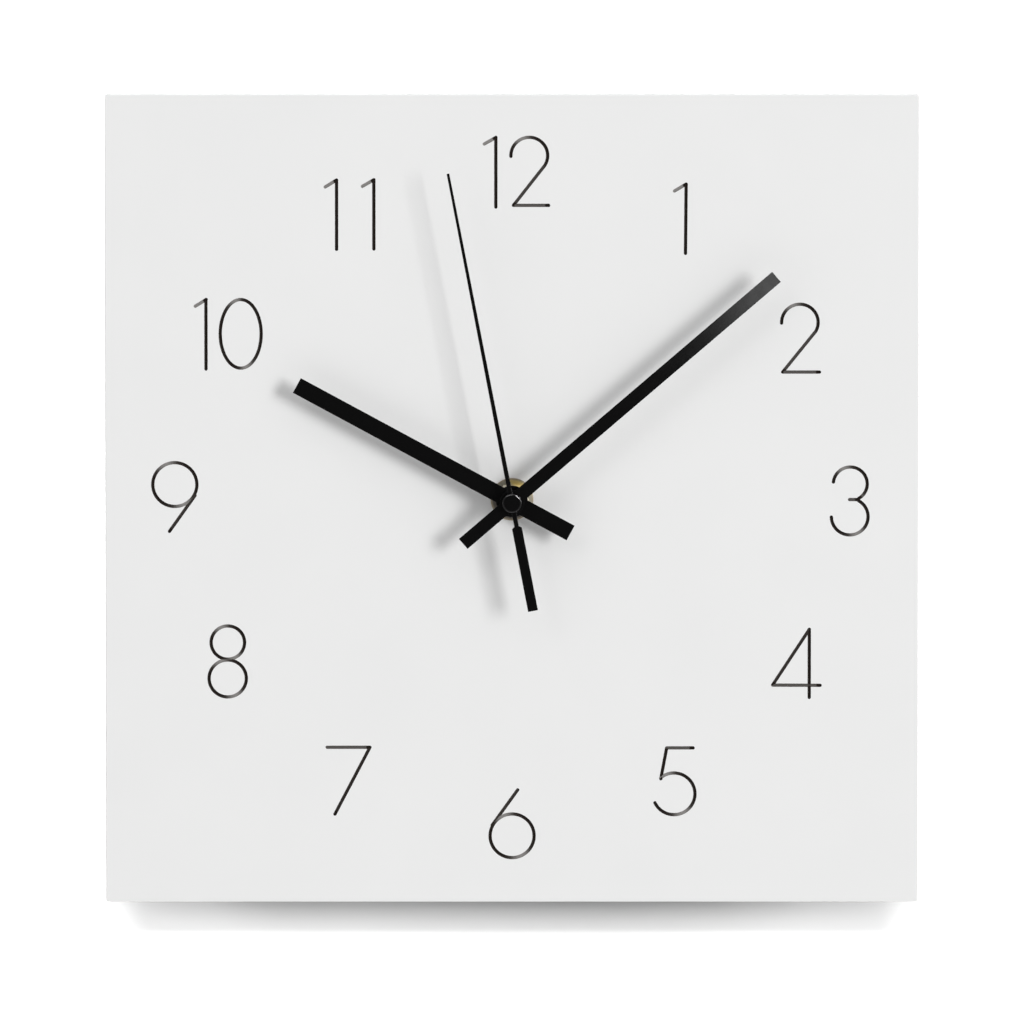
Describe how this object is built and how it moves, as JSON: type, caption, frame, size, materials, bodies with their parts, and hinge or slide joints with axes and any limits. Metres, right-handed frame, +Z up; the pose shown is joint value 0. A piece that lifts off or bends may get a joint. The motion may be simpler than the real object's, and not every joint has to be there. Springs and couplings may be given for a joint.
{
  "type": "wall clock",
  "caption": "Square white wall clock with engraved numerals, black baton hands and a quartz movement behind.",
  "frame": {"origin": "on the hands' axis, at the flat back of the movement, which lies against the wall", "axes": "+Z up the dial, -Y out of the dial towards the viewer, +X to the viewer's right"},
  "size_m": [0.3, 0.0358, 0.3],
  "materials": {
    "white_lacquer": "white satin lacquer on fibre board, numerals in gloss black",
    "black_enamel": "gloss black enamel",
    "black_plastic": "fine textured moulding",
    "natural_plastic": "smooth natural acetal",
    "brass": "bright turned",
    "steel": "bright rolled",
    "rubber": "matt",
    "copper_winding": "enamelled copper wire",
    "circuit_green": "solder mask",
    "battery_jacket": "plain printed-free sleeve"
  },
  "bodies": {
    "clock_body": {"dial_board": "white_lacquer", "rubber_gasket": "rubber", "threaded_bushing": "brass", "brass_washer": "brass", "hex_nut": "brass", "front_case": "black_plastic", "mid_plate": "natural_plastic", "rear_cover": "black_plastic", "hanger": "steel", "circuit_board": "circuit_green", "quartz_crystal": "steel", "chip_cover": "black_plastic", "coil_bobbin": "natural_plastic", "coil_winding": "copper_winding", "coil_core": "steel", "stator": "steel", "lower_core_screw": "steel", "upper_core_screw": "steel", "negative_contact": "steel", "positive_contact": "steel"},
    "battery_cell": {"battery": "battery_jacket"},
    "seconds": {"second_wheel": "natural_plastic", "second_arbor": "steel", "second_hand": "black_enamel", "second_hand_cap": "black_enamel"},
    "rotor": {"rotor_magnet": "steel", "rotor_pinion": "natural_plastic"},
    "intermediate": {"intermediate_wheel": "natural_plastic"},
    "third": {"third_wheel": "natural_plastic"},
    "centre": {"centre_wheel": "natural_plastic"},
    "minutes": {"clutch_spring": "steel", "minute_pipe": "brass", "minute_hand": "black_enamel", "minute_hand_collar": "black_enamel"},
    "motion": {"motion_wheel": "natural_plastic"},
    "hours": {"hour_wheel": "natural_plastic", "hour_hand": "black_enamel", "hour_hand_collar": "black_enamel"},
    "setting": {"setting_knob": "black_plastic", "setting_arbor": "natural_plastic"}
  },
  "joints": [
    {"name": "second_spin", "type": "hinge", "parent": "clock_body", "child": "seconds", "pos_m": [0, 0, 0], "axis": [0, 1, 0], "continuous": true},
    {"name": "intermediate_spin", "type": "hinge", "parent": "clock_body", "child": "intermediate", "pos_m": [0.0072, 0, 0], "axis": [0, 1, 0], "continuous": true},
    {"name": "rotor_spin", "type": "hinge", "parent": "clock_body", "child": "rotor", "pos_m": [0.01336, 0, 0], "axis": [0, 1, 0], "continuous": true},
    {"name": "third_spin", "type": "hinge", "parent": "clock_body", "child": "third", "pos_m": [-0.0102, 0, 0], "axis": [0, 1, 0], "continuous": true},
    {"name": "centre_spin", "type": "hinge", "parent": "clock_body", "child": "centre", "pos_m": [0, 0, 0], "axis": [0, 1, 0], "continuous": true},
    {"name": "minute_spin", "type": "hinge", "parent": "clock_body", "child": "minutes", "pos_m": [0, 0, 0], "axis": [0, 1, 0], "continuous": true},
    {"name": "motion_spin", "type": "hinge", "parent": "clock_body", "child": "motion", "pos_m": [0, 0, 0.0096], "axis": [0, 1, 0], "continuous": true},
    {"name": "hour_spin", "type": "hinge", "parent": "clock_body", "child": "hours", "pos_m": [0, 0, 0], "axis": [0, 1, 0], "continuous": true},
    {"name": "setting_spin", "type": "hinge", "parent": "clock_body", "child": "setting", "pos_m": [-0.00679, 0, 0.01639], "axis": [0, 1, 0], "continuous": true},
    {"name": "battery_slide", "type": "slide", "parent": "clock_body", "child": "battery_cell", "axis": [0, 1, 0], "range_m": [0, 0.03]}
  ],
  "couplings": [
    {"joint": "intermediate_spin", "follows": "second_spin", "ratio": -5},
    {"joint": "rotor_spin", "follows": "second_spin", "ratio": 30},
    {"joint": "third_spin", "follows": "second_spin", "ratio": -0.13333},
    {"joint": "centre_spin", "follows": "second_spin", "ratio": 0.016667},
    {"joint": "motion_spin", "follows": "minute_spin", "ratio": -0.33333},
    {"joint": "hour_spin", "follows": "minute_spin", "ratio": 0.083333},
    {"joint": "setting_spin", "follows": "minute_spin", "ratio": 1}
  ]
}
